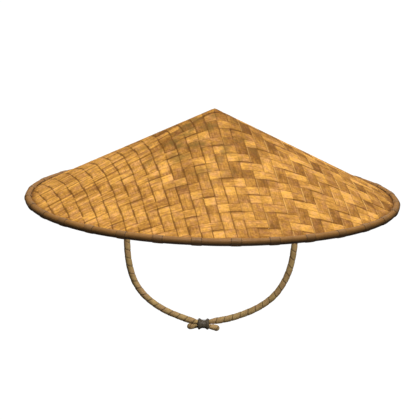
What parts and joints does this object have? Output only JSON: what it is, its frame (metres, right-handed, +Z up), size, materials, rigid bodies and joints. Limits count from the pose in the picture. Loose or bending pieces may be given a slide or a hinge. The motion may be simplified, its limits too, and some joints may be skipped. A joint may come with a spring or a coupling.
{
  "type": "conical hat",
  "caption": "Wide conical hat of plaited bamboo splits with a bound cane rim, a ribbed frame, a headband and a wrapped chin cord with a sliding wrap.",
  "frame": {"origin": "centre of the head opening, in the plane of the headband's lower edge", "axes": "+Z up, along the cone's axis, to the tip; the front is -Y; the chin cord's pegs lie along X, at the sides of the head"},
  "size_m": [0.4312, 0.4306, 0.2617],
  "materials": {
    "weave": "satin",
    "liner": "matte",
    "rim_cane": "satin",
    "binding": "satin",
    "bamboo": "satin",
    "cane_tie": "matte",
    "band": "satin",
    "cord": "matte",
    "whipping": "matte",
    "slider": "satin"
  },
  "bodies": {
    "hat": {"outer_weave": "weave", "inner_liner": "liner", "rim_outer_hoop": "rim_cane", "rim_inner_hoop": "rim_cane", "rim_bindings": "binding", "rib_right": "bamboo", "rib_back_right": "bamboo", "rib_back": "bamboo", "rib_back_left": "bamboo", "rib_left": "bamboo", "rib_front_left": "bamboo", "rib_front": "bamboo", "rib_front_right": "bamboo", "brim_hoop": "bamboo", "head_hoop": "bamboo", "crown_hoop": "bamboo", "frame_lashings": "cane_tie", "apex_hub": "bamboo", "headband": "band", "headband_lower_hoop": "bamboo", "headband_upper_hoop": "bamboo", "headband_ties": "cane_tie", "cord_peg_left": "bamboo", "cord_peg_right": "bamboo"},
    "chin_cord": {"cord_eye_left": "cord", "cord_eye_right": "cord", "cord_seizing_left": "whipping", "cord_seizing_right": "whipping", "chin_cord_left": "cord", "chin_cord_right": "cord", "cord_end_left": "whipping", "cord_end_right": "whipping"},
    "slider": {"chin_slider": "slider"}
  },
  "joints": [
    {"name": "chin_swing", "type": "hinge", "parent": "hat", "child": "chin_cord", "pos_m": [0, 0, 0.022], "axis": [1, 0, 0], "range_deg": [-85, 85]},
    {"name": "slider_lift", "type": "slide", "parent": "chin_cord", "child": "slider", "axis": [0, 0, 1], "range_m": [0, 0.03], "deforming": ["chin_cord_left", "chin_cord_right", "cord_end_left", "cord_end_right"]}
  ]
}
